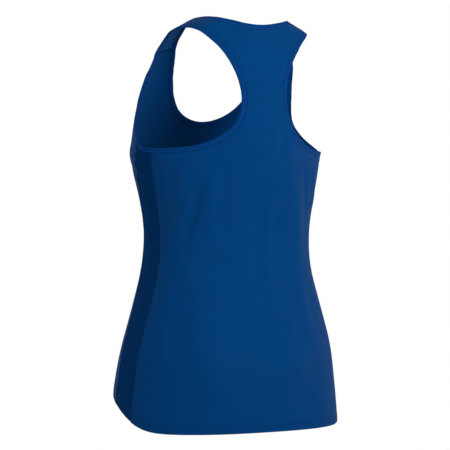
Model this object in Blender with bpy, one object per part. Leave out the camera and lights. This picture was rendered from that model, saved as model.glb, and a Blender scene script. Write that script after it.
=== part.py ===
"""Racerback running singlet, filled out as it is when worn, with nobody in it.

Metres, +Z up, the wearer faces -Y and the wearer's left side is +X. The origin is on the line over
the shoulders, midway between the straps, level with the top of the cloth at the neck.

The cloth lies on one smooth figure. A place on it has two coordinates:
  turn    degrees round the body: 0 at the centre back, 90 at the side, 180 at the centre front,
          negative on the wearer's right
  height  Z in metres up to the chest. Above it the height goes on along the cloth, up to RIDGE on top
          of the shoulder, where the front and the back of the figure meet.
Each panel is a grid of such places, made into a thin wall. Each band is a folded strip that runs
round an opening, edge to edge with the panels.
"""

import math
from collections import namedtuple

import bmesh
import bpy
import numpy as np

# --- Cloth -----------------------------------------------------------------------------------------
WALL = 0.0012  # thickness of the knit
BAND_WIDTH = 0.008  # folded binding round the neck and the armholes
BAND_PROUD = 0.0005  # how far the binding stands out from the cloth on each face
SEAM_GAP = 0.0003  # between neighbouring pieces
HEM_DEPTH = 0.013  # turned-up hem, which doubles the cloth on the inside
HEM_EXTRA = 0.0008

# --- The figure ------------------------------------------------------------------------------------
RIDGE = 0.037  # height, along the cloth, of the line over the shoulder
NECK_REFERENCE = 0.085  # half width at which a yoke section's z is given; it slopes away on both sides
NECK_SOFTNESS = 0.035  # rounds that slope off at the centre line

# One row for each level section of the trunk. centre_y is where it is widest; back and front are its
# depths from there. A square value above nought makes a section boxy, below nought leaner.
BodyRow = namedtuple("BodyRow", "name height half_width centre_y back back_square front front_square")
BODY = [
    BodyRow("underarm", -0.195, 0.161, -0.026, 0.111, -0.040, 0.104, 0.012),
    BodyRow("bust", -0.233, 0.152, -0.032, 0.113, -0.008, 0.111, 0.008),
    BodyRow("ribs", -0.280, 0.141, -0.035, 0.107, 0.015, 0.106, 0.018),
    BodyRow("waist", -0.333, 0.134, -0.036, 0.099, 0.022, 0.099, 0.022),
    BodyRow("below waist", -0.385, 0.1375, -0.036, 0.101, 0.020, 0.101, 0.020),
    BodyRow("high hip", -0.440, 0.1525, -0.035, 0.110, 0.016, 0.110, 0.016),
    BodyRow("hip", -0.505, 0.171, -0.0355, 0.120, 0.015, 0.120, 0.015),
    BodyRow("seat", -0.565, 0.1815, -0.039, 0.127, 0.014, 0.127, 0.014),
    BodyRow("below hem", -0.640, 0.189, -0.040, 0.131, 0.012, 0.131, 0.012),
]
# One row for each section of the yoke, from the top of the shoulder down to the trunk's first row.
YokeRow = namedtuple("YokeRow", "name height z slope half_width centre_y depth square")
FRONT_YOKE = [
    YokeRow("ridge", RIDGE, -0.006, 0.57, 0.132, 0.000, 0.000, 0.00),
    YokeRow("over the ridge", 0.021, -0.011, 0.55, 0.132, -0.012, 0.003, 0.00),
    YokeRow("strap top", 0.005, -0.022, 0.48, 0.133, -0.019, 0.012, 0.01),
    YokeRow("strap", -0.030, -0.041, 0.30, 0.137, -0.015, 0.045, 0.03),
    YokeRow("collar bone", -0.059, -0.064, 0.14, 0.142, -0.009, 0.060, 0.04),
    YokeRow("upper chest", -0.090, -0.088, 0.05, 0.148, -0.014, 0.070, 0.045),
    YokeRow("chest", -0.117, -0.114, 0.00, 0.152, -0.019, 0.075, 0.045),
    YokeRow("armhole", -0.155, -0.155, 0.00, 0.157, -0.024, 0.092, 0.035),
]
BACK_YOKE = [
    YokeRow("ridge", RIDGE, -0.006, 0.57, 0.132, 0.000, 0.000, 0.00),
    YokeRow("over the ridge", 0.014, -0.009, 0.54, 0.132, 0.024, 0.004, 0.00),
    YokeRow("shoulder", -0.009, -0.021, 0.49, 0.134, 0.039, 0.012, 0.00),
    YokeRow("below shoulder", -0.030, -0.036, 0.41, 0.136, 0.038, 0.020, 0.00),
    YokeRow("shoulder blade top", -0.055, -0.056, 0.28, 0.140, 0.033, 0.035, 0.00),
    YokeRow("shoulder blade", -0.083, -0.083, 0.12, 0.146, 0.018, 0.057, 0.00),
    YokeRow("racer", -0.119, -0.119, 0.02, 0.152, -0.004, 0.085, 0.00),
    YokeRow("armhole", -0.155, -0.155, 0.00, 0.157, -0.024, 0.109, -0.01),
]

# --- Cut edges -------------------------------------------------------------------------------------
# The finished neck edge, from the centre back over the shoulder to the centre front.
NeckRow = namedtuple("NeckRow", "sheet height across")
NECK_EDGE = [
    NeckRow("back", -0.032, 0.000),
    NeckRow("back", -0.024, 0.030),
    NeckRow("back", -0.005, 0.056),
    NeckRow("back", 0.018, 0.073),
    NeckRow("back", RIDGE, 0.080),
    NeckRow("front", 0.005, 0.081),
    NeckRow("front", -0.030, 0.080),
    NeckRow("front", -0.059, 0.078),
    NeckRow("front", -0.090, 0.073),
    NeckRow("front", -0.118, 0.065),
    NeckRow("front", -0.137, 0.050),
    NeckRow("front", -0.150, 0.027),
    NeckRow("front", -0.155, 0.000),
]
# The finished armhole edge, from the shoulder down the back, under the arm and up the front.
# Rows beside the arm say how far they are from the side line, behind it or ahead of it.
ArmRow = namedtuple("ArmRow", "sheet height across from_side", defaults=(None, None))
ARM_EDGE = [
    ArmRow("back", RIDGE, 0.117),
    ArmRow("back", 0.011, 0.1055),
    ArmRow("back", -0.009, 0.0965),
    ArmRow("back", -0.030, 0.085),
    ArmRow("back", -0.053, 0.071),
    ArmRow("back", -0.080, 0.0535),
    ArmRow("back", -0.107, 0.0425),
    ArmRow("back", -0.134, 0.0395),
    ArmRow("back", -0.160, 0.046),
    ArmRow("back", -0.179, 0.061),
    ArmRow("back", -0.193, 0.083),
    ArmRow("back", -0.2015, 0.107),
    ArmRow("back", -0.2035, 0.130),
    ArmRow("back", from_side=0.022, height=-0.2033),
    ArmRow("back", from_side=0.009, height=-0.2008),
    ArmRow("front", from_side=0.004, height=-0.193),
    ArmRow("front", from_side=0.019, height=-0.183),
    ArmRow("front", from_side=0.034, height=-0.171),
    ArmRow("front", from_side=0.046, height=-0.156),
    ArmRow("front", -0.130, 0.142),
    ArmRow("front", -0.100, 0.135),
    ArmRow("front", -0.069, 0.129),
    ArmRow("front", -0.035, 0.124),
    ArmRow("front", 0.005, 0.119),
]
UNDERARM_BEHIND, UNDERARM_AHEAD = -0.190, -0.170  # the edge's heights either side of the side panel
FORWARD_SEAM = -0.040  # height, on the front, of the seam where the back's straps end
STRAP_MIDDLE = 0.102  # half width at which that seam's gap is set

# The side panel reaches this far from the side line, measured round the body.
SideRow = namedtuple("SideRow", "height behind ahead")
SIDE_PANEL = [
    SideRow(-0.185, 0.027, 0.006),
    SideRow(-0.245, 0.025, 0.020),
    SideRow(-0.333, 0.025, 0.036),
    SideRow(-0.445, 0.028, 0.026),
    SideRow(-0.640, 0.031, 0.014),
]

# The hem drops at the back and rises round the side.
HemRow = namedtuple("HemRow", "turn height")
HEM = [
    HemRow(0, -0.6325),
    HemRow(40, -0.6325),
    HemRow(55, -0.6315),
    HemRow(66, -0.628),
    HemRow(77, -0.617),
    HemRow(90, -0.601),
    HemRow(103, -0.587),
    HemRow(117, -0.578),
    HemRow(135, -0.574),
    HemRow(180, -0.573),
]

# --- Soft forms ------------------------------------------------------------------------------------
# Each swells the cloth out, or draws it in where its rise is negative, along a line on the figure.
# lean is how far the line leans from upright, in degrees; width and length are spreads to each side.
Swell = namedtuple("Swell", "name turn height lean width length rise")
SWELLS = [
    Swell("bust left", 142, -0.213, 0, 0.050, 0.038, 0.009),
    Swell("bust right", -142, -0.213, 0, 0.050, 0.038, 0.009),
    Swell("drawn in by the left band", 106, -0.176, 20, 0.020, 0.022, -0.004),
    Swell("drawn in by the right band", -106, -0.176, -20, 0.020, 0.022, -0.004),
    Swell("fold from the left armhole", 44, -0.300, -17, 0.013, 0.040, -0.003),
    Swell("hollow beside it", 23, -0.290, -5, 0.013, 0.034, -0.0015),
    Swell("middle of the back", 1, -0.350, 0, 0.014, 0.065, -0.002),
    Swell("right of the middle", -15, -0.340, 2, 0.014, 0.055, -0.0015),
    Swell("ridge down the right", -30, -0.325, 13, 0.014, 0.070, 0.003),
    Swell("crease under the right arm", -38, -0.270, 20, 0.012, 0.035, -0.003),
    Swell("left seat", 28, -0.500, 5, 0.038, 0.045, 0.003),
    Swell("right seat", -14, -0.515, -5, 0.035, 0.045, 0.002),
    Swell("hollow above the hem", -13, -0.590, 0, 0.022, 0.030, -0.002),
    Swell("under the bust left", 150, -0.300, -20, 0.014, 0.040, -0.003),
    Swell("under the bust right", -148, -0.305, 22, 0.014, 0.038, -0.0025),
    Swell("fold to the left waist", 122, -0.290, 30, 0.013, 0.034, -0.0025),
    Swell("fold to the right waist", -120, -0.285, -28, 0.013, 0.036, -0.0025),
    Swell("belly", 180, -0.470, 0, 0.055, 0.060, 0.004),
    Swell("hollow in the front, left", 160, -0.545, 4, 0.022, 0.040, -0.002),
    Swell("hollow in the front, right", -150, -0.540, -6, 0.020, 0.045, -0.002),
]

SECTION_RADIUS = 0.125  # turns a swell's degrees into a distance round the body

# --- Grid sizes ------------------------------------------------------------------------------------
COLUMNS = 10  # across half a panel
SIDE_COLUMNS = 4
SEAM_ROWS = 24  # up the side seams
BACK_RACER_ROWS = 12  # from the side seam's top to the fork where the straps part
BACK_STRAP_ROWS = 13  # from the fork to the forward seam
BACK_FORK = -0.067  # height of the fork's row at the armhole
BACK_DIP = 0.009  # how far the rows at the fork dip between the neck and the armhole
BACK_DIP_ROWS = 19  # the dip fades out over this many rows below the fork
FRONT_CHEST_ROWS = 3
FRONT_STRAP_ROWS = 11
FRONT_FORK = -0.163
FRONT_DIP = 0.034
FRONT_DIP_ROWS = 11
RACER_EASE = 1.5  # keeps the lowest rows of the racer back nearly level, clear of the armholes
HEM_FADE = 0.15  # the rows flatten out over this height above the hem
HEM_STEP = 0.002  # height over which the wall thins above the turned-up hem
HEM_ROWS = 2  # the rows inside the turned-up hem
SAMPLES = 400  # points at which a section or a line is read to find a length or a turn along it
TURN_STEP, HEIGHT_STEP, LENGTH_STEP = 0.4, 0.001, 0.002  # for taking slopes

CLOTH_COLOUR = (0.005, 0.048, 0.190, 1)
SIDE_COLOUR = (0.003, 0.020, 0.066, 1)
BINDING_COLOUR = (0.005, 0.044, 0.175, 1)
CLOTH_ROUGHNESS = 0.6


def smooth_table(keys, columns):
    """A function that reads the rows of a table as smooth curves. keys rise; columns has one row each."""
    keys, columns = np.asarray(keys, float), np.asarray(columns, float)
    steps = np.diff(keys)
    rises = np.diff(columns, axis=0) / steps[:, None]
    slopes = np.empty_like(columns)
    slopes[0], slopes[-1] = rises[0], rises[-1]
    before, after = steps[:-1, None], steps[1:, None]
    slopes[1:-1] = (rises[:-1] * after + rises[1:] * before) / (before + after)

    def read(at):
        at = np.clip(np.asarray(at, float), keys[0], keys[-1])
        row = np.clip(np.searchsorted(keys, at) - 1, 0, len(steps) - 1)
        step = steps[row]
        share = (at - keys[row]) / step
        share, step = share[..., None], step[..., None]
        low, high = columns[row], columns[row + 1]
        return (
            low * (1 + 2 * share) * (1 - share) ** 2
            + slopes[row] * step * share * (1 - share) ** 2
            + high * share**2 * (3 - 2 * share)
            - slopes[row + 1] * step * share**2 * (1 - share)
        )

    read.slopes = slopes
    return read


def sheet_of(yoke, back):
    """The front or the back of the figure: its sections read as smooth curves of height."""
    rows = [(row.height, *row[2:]) for row in yoke]
    for row in BODY:
        depth, square = (row.back, row.back_square) if back else (row.front, row.front_square)
        rows.append((row.height, row.height, 0, row.half_width, row.centre_y, depth, square))
    rows.sort()
    table = smooth_table([row[0] for row in rows], [row[1:] for row in rows])
    table.slopes[-1, 0] = 0  # the cloth is level where it crosses the ridge
    return table


SHEETS = {"front": sheet_of(FRONT_YOKE, False), "back": sheet_of(BACK_YOKE, True)}


def section_points(sheet, quarter, height):
    """(x, y, z) on one sheet; quarter is 0 at its centre line and 90 degrees at its side."""
    z, slope, half_width, centre_y, depth, square = np.moveaxis(SHEETS[sheet](height), -1, 0)
    angle = np.radians(quarter)
    x = half_width * (np.sin(angle) + square * np.sin(3 * angle)) / (1 - square)
    out = depth * (np.cos(angle) - square * np.cos(3 * angle)) / (1 - square)
    y = centre_y + (out if sheet == "back" else -out)
    beyond = np.hypot(x, NECK_SOFTNESS) - math.hypot(NECK_REFERENCE, NECK_SOFTNESS)
    return x, y, z - slope * beyond


def swell_at(turn, height):
    """How far the soft forms move the cloth out at these places."""
    total = np.zeros(np.broadcast(turn, height).shape)
    for swell in SWELLS:
        up = height - swell.height
        away = (turn - swell.turn + 180) % 360 - 180
        girth = math.radians(1) * SECTION_RADIUS * away
        lean = math.radians(swell.lean)
        across = girth * math.cos(lean) - up * math.sin(lean)
        along = girth * math.sin(lean) + up * math.cos(lean)
        total += swell.rise * np.exp(-((across / swell.width) ** 2 + (along / swell.length) ** 2) / 2)
    return total


def figure(turn, height):
    """Places on the figure as an array of points. A height past the ridge goes down the other sheet."""
    turn, height = np.broadcast_arrays(np.asarray(turn, float), np.asarray(height, float))
    over = height > RIDGE
    side = np.where(turn < 0, -1.0, 1.0)
    turn = np.where(over, side * (180 - np.abs(turn)), turn)
    height = np.where(over, 2 * RIDGE - height, height)
    quarter = np.abs(turn)
    back = quarter <= 90
    on_back = section_points("back", np.minimum(quarter, 90), height)
    on_front = section_points("front", np.minimum(180 - quarter, 90), height)
    x, y, z = (np.where(back, b, f) for b, f in zip(on_back, on_front))
    swell = swell_at(turn, height)
    angle = np.radians(quarter)
    return np.stack([side * (x + swell * np.sin(angle)), y + swell * np.cos(angle), z], -1)


def slopes_at(turn, height):
    """How the figure's points move for a degree of turn and for a metre of height."""
    by_turn = (figure(turn + TURN_STEP, height) - figure(turn - TURN_STEP, height)) / (2 * TURN_STEP)
    by_height = (figure(turn, height + HEIGHT_STEP) - figure(turn, height - HEIGHT_STEP)) / (2 * HEIGHT_STEP)
    return by_turn, by_height


def unit(vectors):
    return vectors / np.linalg.norm(vectors, axis=-1, keepdims=True)


def lengths_along(points):
    """How far each point is along the line through them all."""
    return np.concatenate([[0], np.cumsum(np.linalg.norm(np.diff(points, axis=0), axis=1))])


def outward(turn, height):
    """The figure's outward normal."""
    by_turn, by_height = slopes_at(turn, height)
    return unit(np.cross(by_height, by_turn))


def turn_at_width(sheet, height, across):
    """The turn at which a section is this wide."""
    quarters = np.linspace(0, 90, SAMPLES)
    widths = section_points(sheet, quarters, np.full_like(quarters, height))[0]
    quarter = float(np.interp(across, widths, quarters))
    return quarter if sheet == "back" else 180 - quarter


def turn_from_side(height, distance):
    """The turn this far from the side line, round the body: behind it, or ahead of it if negative."""
    sheet = "back" if distance >= 0 else "front"
    quarters = np.linspace(90, 0, SAMPLES)
    points = np.stack(section_points(sheet, quarters, np.full_like(quarters, height)), -1)
    quarter = float(np.interp(abs(distance), lengths_along(points), quarters))
    return quarter if sheet == "back" else 180 - quarter


# --- Lines on the figure -----------------------------------------------------------------------------
class Line:
    """A smooth line through places on the figure, read by its length from the start."""

    def __init__(self, before, places, after):
        """before and after are the places next to the line's ends, which set its direction there."""
        places = np.array([before, *places, after], float)
        keys = lengths_along(figure(places[:, 0], places[:, 1]))
        self.places = smooth_table(keys, places)(np.linspace(keys[1], keys[-2], 3 * SAMPLES))
        self.lengths = lengths_along(figure(self.places[:, 0], self.places[:, 1]))
        self.length = self.lengths[-1]

    def at(self, lengths):
        """Places (turn, height) at these lengths along the line."""
        return np.stack([np.interp(lengths, self.lengths, self.places[:, i]) for i in (0, 1)], -1)

    def inset(self, lengths, distance):
        """Places this far into the cloth from the line, square to it."""
        lengths = np.atleast_1d(np.asarray(lengths, float))
        places = self.at(lengths)
        low, high = (self.at(np.clip(lengths + step, 0, self.length)) for step in (-LENGTH_STEP, LENGTH_STEP))
        along = unit(figure(high[:, 0], high[:, 1]) - figure(low[:, 0], low[:, 1]))
        by_turn, by_height = slopes_at(places[:, 0], places[:, 1])
        inward = np.cross(unit(np.cross(by_height, by_turn)), along)
        moved = []
        for place, turn_slope, height_slope, way in zip(places, by_turn, by_height, inward):
            shift = np.linalg.lstsq(np.stack([turn_slope, height_slope], 1), way * distance, rcond=None)[0]
            moved.append(place + shift)
        return np.array(moved)


def over_ridge(place):
    """The same place named from the other sheet."""
    turn, height = place
    return 180 - turn, 2 * RIDGE - height


def neck_line():
    """The neck edge on the wearer's left, as places of the back sheet: past the ridge, heights go on."""
    places = []
    for row in NECK_EDGE:
        place = (turn_at_width(row.sheet, row.height, row.across), row.height)
        places.append(place if row.sheet == "back" else over_ridge(place))
    first, last = places[1], places[-2]
    return Line((-first[0], first[1]), places, (-last[0], last[1]))


def arm_line():
    """The left armhole edge, from the shoulder down the back, round under the arm and up the front."""
    places = []
    for row in ARM_EDGE:
        if row.across is None:
            sign = 1 if row.sheet == "back" else -1
            places.append((turn_from_side(row.height, sign * row.from_side), row.height))
        else:
            places.append((turn_at_width(row.sheet, row.height, row.across), row.height))
    places.append(over_ridge(places[0]))
    return Line(over_ridge(places[-2]), places, over_ridge(places[1]))


# --- Building a wall of cloth -----------------------------------------------------------------------
def material(name, colour):
    """A plain matt cloth."""
    surface = bpy.data.materials.new(name)
    surface.use_nodes = True
    shader = surface.node_tree.nodes["Principled BSDF"]
    shader.inputs["Base Color"].default_value = colour
    shader.inputs["Roughness"].default_value = CLOTH_ROUGHNESS
    shader.inputs["Metallic"].default_value = 0.0
    return surface


def add_object(name, points, faces, surface):
    """A closed mesh with its faces outward, as one named object."""
    mesh = bpy.data.meshes.new(name)
    mesh.from_pydata([tuple(point) for point in points], [], faces)
    mesh.materials.append(surface)
    shell = bmesh.new()
    shell.from_mesh(mesh)
    if shell.calc_volume(signed=True) < 0:
        bmesh.ops.reverse_faces(shell, faces=shell.faces)
    shell.to_mesh(mesh)
    shell.free()
    mesh.shade_smooth()
    made = bpy.data.objects.new(name, mesh)
    bpy.context.scene.collection.objects.link(made)
    return made


def cloth_wall(name, places, thickness, faces, surface):
    """A wall whose outer face lies on the figure. places and thickness are keyed as the faces are."""
    keys = list(places)
    index = {key: i for i, key in enumerate(keys)}
    grid = np.array([places[key] for key in keys])
    outer = figure(grid[:, 0], grid[:, 1])
    depth = np.array([thickness[key] for key in keys])[:, None]
    inner = outer - outward(grid[:, 0], grid[:, 1]) * depth
    outer_faces = [[index[key] for key in face] for face in faces]
    count = len(keys)
    solid = outer_faces + [[i + count for i in reversed(face)] for face in outer_faces]
    edges = {(a, b) for face in outer_faces for a, b in zip(face, face[1:] + face[:1])}
    for a, b in edges:
        if (b, a) not in edges:  # a cut edge, which shows the thickness
            solid.append([b, a, a + count, b + count])
    return add_object(name, np.concatenate([outer, inner]), solid, surface)


def half_grid(rows, side, fork):
    """Places and faces of a half panel. Rows up to the fork share column 0 with the other half."""

    def key(row, column):
        return row, column, side if column or row > fork else 0

    places, faces = {}, []
    for r, row in enumerate(rows):
        for c, (turn, height) in enumerate(row):
            places[key(r, c)] = (side * turn, height)
    for r in range(len(rows) - 1):
        for c in range(len(rows[0]) - 1):
            face = [key(r, c), key(r + 1, c), key(r + 1, c + 1), key(r, c + 1)]
            faces.append(face if side > 0 else face[::-1])
    return places, faces


# --- Rows of the panels -----------------------------------------------------------------------------
hem_height = smooth_table([row.turn for row in HEM], [[row.height] for row in HEM])
side_reach = smooth_table(
    [row.height for row in reversed(SIDE_PANEL)],
    [[row.behind, row.ahead] for row in reversed(SIDE_PANEL)],
)
HEM_LOW = min(row.height for row in HEM)


def ease(share):
    """Nought to one with a soft start and end."""
    share = np.clip(share, 0, 1)
    return share * share * (3 - 2 * share)


def with_hem(turn, level):
    """The height of a level row at this turn: the rows near the hem follow its curve."""
    fade = 1 - ease((level - HEM_LOW) / HEM_FADE)
    return level + (hem_height(abs(turn))[..., 0] - HEM_LOW) * fade


def seam_turn(height, end, gap):
    """The turn of a side seam's edge. end is behind or ahead; gap moves it towards the side line."""
    behind, ahead = side_reach(height)
    return turn_from_side(height, behind - gap if end == "behind" else gap - ahead)


def seam_place(level, end, gap):
    """A place on a side seam at a level row."""
    height = level
    for _ in range(3):
        height = float(with_hem(seam_turn(height, end, gap), level))
    return seam_turn(height, end, gap), height


def first_crossing(lengths, values):
    """The length at which values first pass nought."""
    i = next(i for i in range(len(values) - 1) if values[i] * values[i + 1] <= 0)
    return lengths[i] + (lengths[i + 1] - lengths[i]) * values[i] / (values[i] - values[i + 1])


def meet_seam(line, distance, end, gap, between):
    """The length along a line, inset by this distance, at which it crosses a side seam's edge."""
    lengths = np.linspace(*between, SAMPLES)
    places = line.inset(lengths, distance)
    return first_crossing(lengths, [turn - seam_turn(height, end, gap) for turn, height in places])


def length_at_height(line, height, between):
    """The length along a line at which it first crosses this height."""
    lengths = np.linspace(*between, SAMPLES)
    return first_crossing(lengths, line.at(lengths)[:, 1] - height)


def dips(count, spread, most):
    """How far each row dips in its middle: most at the last row, nought this many rows below it."""
    return most * ease((np.arange(count) - (count - 1 - spread)) / spread)


SHARES = np.linspace(0, 1, COLUMNS + 1)
BOW = 4 * SHARES * (1 - SHARES)


def straight_rows(inner, outer, dip):
    """Rows of places from inner ones to outer ones, each dipping by its own amount."""
    inner, outer = np.asarray(inner), np.asarray(outer)
    rows = inner[:, None] * (1 - SHARES)[:, None] + outer[:, None] * SHARES[:, None]
    rows[:, :, 1] -= dip[:, None] * BOW
    return rows


def level_rows(centre, end, top, dip):
    """Rows from a centre line to a side seam, up to just below top. Low down they follow the hem."""
    rows = []
    for level, drop in zip(levels(top)[:-1], dip):
        turns = centre + (seam_place(level, end, -HALF_GAP)[0] - centre) * SHARES
        rows.append(np.stack([turns, with_hem(turns, level) - drop * BOW], 1))
    return np.array(rows)


def levels(top):
    """Level rows from the hem to this height, with a close pair at the top of the turned-up hem."""
    fold = [HEM_LOW, HEM_LOW + HEM_DEPTH, HEM_LOW + HEM_DEPTH + HEM_STEP]
    return np.concatenate([fold[:2], np.linspace(fold[2], top, SEAM_ROWS)])


def wall_thickness(places):
    """The wall at each key: thicker in the turned-up hem."""
    return {key: WALL + (HEM_EXTRA if key[0] < HEM_ROWS else 0) for key in places}


EDGE = BAND_WIDTH + SEAM_GAP  # from a finished edge to the panel's own cut edge
HALF_GAP = SEAM_GAP / 2

for old in list(bpy.data.objects):
    bpy.data.objects.remove(old, do_unlink=True)

neck, arm = neck_line(), arm_line()
half_way = arm.length / 2
under = [
    length_at_height(arm, UNDERARM_BEHIND, (0, half_way)),
    length_at_height(arm, UNDERARM_AHEAD, (half_way, arm.length)),
]
corners = {
    (end, gap): meet_seam(arm, EDGE, end, gap, under)
    for end in ("behind", "ahead")
    for gap in (-HALF_GAP, HALF_GAP)
}


def corner(end, gap):
    """Where a side seam's edge meets the cut edge of the armhole."""
    return arm.inset(corners[end, gap], EDGE)[0]


# Lengths along the two finished edges at which the panels have a row, for the bands to share.
strap_turn = turn_at_width("front", FORWARD_SEAM, STRAP_MIDDLE)
metre_of_height = float(np.linalg.norm(slopes_at(strap_turn, FORWARD_SEAM)[1]))
rise = HALF_GAP / metre_of_height
seam_over = 2 * RIDGE - FORWARD_SEAM  # the forward seam in heights of the back sheet
neck_at_back_end = length_at_height(neck, seam_over - rise, (0, neck.length))
neck_at_front_end = length_at_height(neck, seam_over + rise, (0, neck.length))
arm_at_back_end = length_at_height(arm, FORWARD_SEAM + rise, (under[1], arm.length))
arm_at_front_end = length_at_height(arm, FORWARD_SEAM - rise, (under[1], arm.length))
back_fork = length_at_height(arm, BACK_FORK, (0, under[0]))
front_fork = length_at_height(arm, FRONT_FORK, (under[1], arm.length))

racer_lengths = np.linspace(corners["behind", -HALF_GAP], back_fork, BACK_RACER_ROWS + 1)
back_strap_arm = np.linspace(back_fork, arm_at_back_end - arm.length, BACK_STRAP_ROWS + 1)
back_strap_neck = np.linspace(0, neck_at_back_end, BACK_STRAP_ROWS + 1)
chest_lengths = np.linspace(corners["ahead", -HALF_GAP], front_fork, FRONT_CHEST_ROWS + 1)
front_strap_arm = np.linspace(front_fork, arm_at_front_end, FRONT_STRAP_ROWS + 1)
front_strap_neck = np.linspace(neck.length, neck_at_front_end, FRONT_STRAP_ROWS + 1)


def arm_places(lengths, distance):
    """Places along the armhole. Lengths below nought go over the ridge, named from the back sheet."""
    lengths = np.asarray(lengths, float)
    places = arm.inset(np.where(lengths < 0, lengths + arm.length, lengths), distance)
    return np.array([over_ridge(p) if length < 0 else p for p, length in zip(places, lengths)])


def back_rows():
    """Rows of the left half of the back, and which of them is at the fork."""
    top = corner("behind", -HALF_GAP)[1]
    dip = dips(SEAM_ROWS + 2 + BACK_RACER_ROWS, BACK_DIP_ROWS, BACK_DIP)
    low = level_rows(0, "behind", top, dip)
    up = np.linspace(0, 1, BACK_RACER_ROWS + 1) ** RACER_EASE
    middle = np.stack([0 * up, top + (neck.inset(0, EDGE)[0][1] - top) * up], 1)
    racer = straight_rows(middle, arm_places(racer_lengths, EDGE), dip[len(low) :])
    over = dips(BACK_STRAP_ROWS + 1, BACK_STRAP_ROWS, BACK_DIP)[::-1]
    strap = straight_rows(neck.inset(back_strap_neck, EDGE), arm_places(back_strap_arm, EDGE), over)
    return np.concatenate([low, racer, strap[1:]]), len(low) + len(racer) - 1


def front_rows():
    """Rows of the left half of the front, and which of them is at the fork."""
    top = corner("ahead", -HALF_GAP)[1]
    dip = dips(SEAM_ROWS + 2 + FRONT_CHEST_ROWS, FRONT_DIP_ROWS, FRONT_DIP)
    low = level_rows(180, "ahead", top, dip)
    neck_places = np.array([over_ridge(place) for place in neck.inset(front_strap_neck, EDGE)])
    up = np.linspace(0, 1, FRONT_CHEST_ROWS + 1)
    middle = np.stack([180 + 0 * up, top + (neck_places[0][1] - top) * up], 1)
    chest = straight_rows(middle, arm.inset(chest_lengths, EDGE), dip[len(low) :])
    over = dips(FRONT_STRAP_ROWS + 1, FRONT_STRAP_ROWS, FRONT_DIP)[::-1]
    strap = straight_rows(neck_places, arm.inset(front_strap_arm, EDGE), over)
    return np.concatenate([low, chest, strap[1:]]), len(low) + len(chest) - 1


side_lengths = np.linspace(corners["behind", HALF_GAP], corners["ahead", HALF_GAP], SIDE_COLUMNS + 1)


def side_rows():
    """The side panel, from its back seam round to its front one."""
    tops = [corner("behind", HALF_GAP), corner("ahead", HALF_GAP)]
    back_seam, front_seam = (
        np.array([seam_place(level, end, HALF_GAP) for level in levels(top[1])])
        for end, top in zip(("behind", "ahead"), tops)
    )
    back_seam[-1], front_seam[-1] = tops
    share = np.linspace(0, 1, SIDE_COLUMNS + 1)[None, :, None]
    rows = back_seam[:, None] * (1 - share) + front_seam[:, None] * share
    top = arm.inset(side_lengths, EDGE)
    bow = top - rows[-1]
    up = np.linspace(0, 1, len(rows))[:, None, None] ** 4
    hem = hem_height(rows[0, :, 0])[:, 0] - rows[0, :, 1]
    rows[:, :, 1] += (1 - ease((rows[:, :, 1] - rows[0, :, 1]) / HEM_FADE)) * hem
    return rows + bow * up


def panel(name, rows, fork, sides, surface):
    """A panel from the rows of its left half, laid on the sides asked for."""
    places, faces = {}, []
    for side in sides:
        more_places, more_faces = half_grid(rows, side, fork)
        places.update(more_places)
        faces += more_faces
    return cloth_wall(name, places, wall_thickness(places), faces, surface)


# A band's section: how far each corner is from the finished edge, and how far it stands out.
BandCorner = namedtuple("BandCorner", "inset out")
BAND_CORNERS = [
    BandCorner(0.0008, BAND_PROUD),
    BandCorner(BAND_WIDTH - 0.0006, BAND_PROUD),
    BandCorner(BAND_WIDTH, BAND_PROUD - 0.0003),
    BandCorner(BAND_WIDTH, 0.0003 - WALL - BAND_PROUD),
    BandCorner(BAND_WIDTH - 0.0006, -WALL - BAND_PROUD),
    BandCorner(0.0008, -WALL - BAND_PROUD),
    BandCorner(0.0, 0.0006 - WALL - BAND_PROUD),
    BandCorner(0.0, BAND_PROUD - 0.0006),
]


def band(name, line, stations, surface):
    """A folded strip round an opening, closed on itself. Each station is a length and a side."""
    lengths, sides = np.array(stations).T
    rings = []
    for row in BAND_CORNERS:
        places = line.inset(lengths, row.inset) * np.stack([sides, np.ones(len(sides))], 1)
        turn, height = places.T
        rings.append(figure(turn, height) + outward(turn, height) * row.out)
    points = np.stack(rings, 1)
    count, around = points.shape[:2]
    faces = []
    for i in range(count):
        for j in range(around):
            here, there, turned = i * around, (i + 1) % count * around, (j + 1) % around
            faces.append([here + j, there + j, there + turned, here + turned])
    return add_object(name, points.reshape(-1, 3), faces, surface)


def merged(*groups):
    """Lengths in order, without those closer together than a seam's gap can be."""
    lengths = np.sort(np.concatenate(groups))
    return lengths[np.concatenate([[True], np.diff(lengths) > HALF_GAP])]


cloth = material("knit", CLOTH_COLOUR)
side_cloth = material("side_knit", SIDE_COLOUR)
binding = material("binding", BINDING_COLOUR)
both = (1, -1)

panel("back_panel", *back_rows(), both, cloth)
panel("front_panel", *front_rows(), both, cloth)
panel("side_panel_left", side_rows(), -1, [1], side_cloth)
panel("side_panel_right", side_rows(), -1, [-1], side_cloth)

round_arm = merged(racer_lengths, back_strap_arm % arm.length, side_lengths, chest_lengths, front_strap_arm)
band("armhole_band_left", arm, [(length, 1) for length in round_arm], binding)
band("armhole_band_right", arm, [(length, -1) for length in round_arm], binding)
down_neck = merged(back_strap_neck, front_strap_neck)
left = [(length, 1) for length in down_neck]
right = [(length, -1) for length in down_neck[-2:0:-1]]
band("neck_band", neck, left + right, binding)
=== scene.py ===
# %% [markdown]
# # A running singlet
# A running singlet is a few flat pieces of thin knit, sewn into a tube and filled out by the
# body inside it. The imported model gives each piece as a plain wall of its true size. This
# lesson dresses those walls: it takes the outer skin of each, turns in its edges as a sewer
# would, lays creases in it, folds up the hem, and adds bindings, stitches and knit.
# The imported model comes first, because every piece here is made on it.

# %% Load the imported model
import math

import bmesh
import bpy
from mathutils import Matrix, Vector, kdtree, noise
from mathutils.bvhtree import BVHTree


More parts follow.
